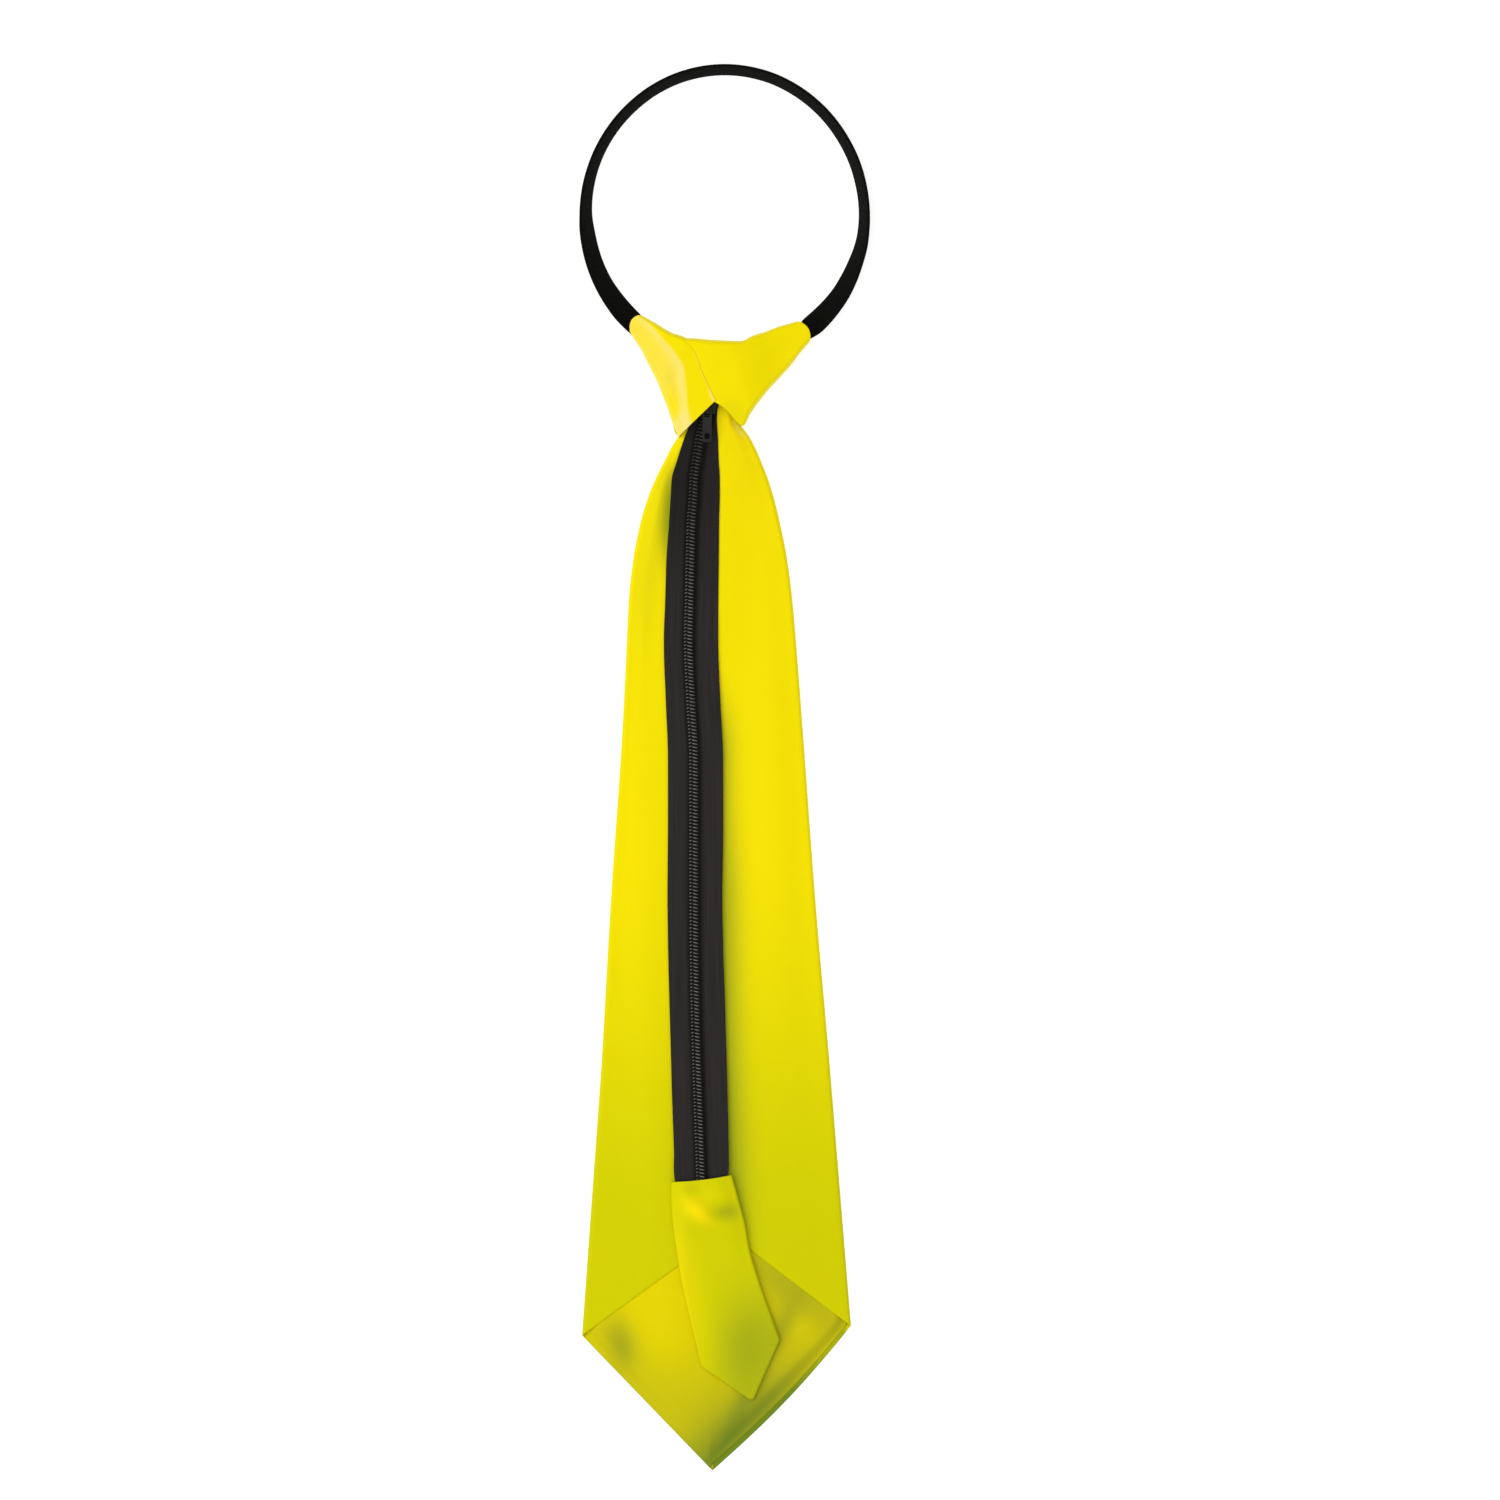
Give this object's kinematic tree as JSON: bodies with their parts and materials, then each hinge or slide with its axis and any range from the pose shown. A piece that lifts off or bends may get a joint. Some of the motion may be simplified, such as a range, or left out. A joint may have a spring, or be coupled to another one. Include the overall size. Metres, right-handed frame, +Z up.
{
  "type": "pre-tied zip neck tie with elastic neck loop",
  "caption": "Pre-tied satin neck tie lying on its front: hollow knot, folded pointed blade, zip with slider and pull tab, tail and black neck loop.",
  "frame": {"origin": "middle of the whole tie's outline, on the surface it lies on", "axes": "+Y from the point of the blade to the top of the neck loop, +X across the tie, +Z up out of the surface, so the back of the tie with its zip faces up"},
  "size_m": [0.1248, 0.6034, 0.0207],
  "materials": {
    "satin_cloth": "neon yellow polyester satin, soft sheen, fine weave",
    "tipping_cloth": "the same yellow satin used as the lining of the point",
    "zip_tape": "black woven polyester tape, matt, with fine lengthwise ribs",
    "zip_coil": "black nylon coil teeth, slightly shiny",
    "slider_enamel": "black enamelled zinc, semi-gloss",
    "elastic_band": "black woven elastic, matt, with fine crosswise ribs"
  },
  "bodies": {
    "tie": {"blade": "satin_cloth", "tipping": "tipping_cloth", "knot_front": "satin_cloth", "knot_wrap_left": "satin_cloth", "knot_wrap_right": "satin_cloth", "tail": "satin_cloth", "zip_tape_left": "zip_tape", "zip_tape_right": "zip_tape", "zip_coil_left": "zip_coil", "zip_coil_right": "zip_coil", "slider_body": "slider_enamel", "neck_band": "elastic_band"},
    "pull": {"slider_pull": "slider_enamel"}
  },
  "joints": [
    {"name": "pull_lift", "type": "hinge", "parent": "tie", "child": "pull", "pos_m": [-0.0074, 0.1533, 0.0158], "axis": [-1, 0, 0], "range_deg": [0, 45]}
  ]
}
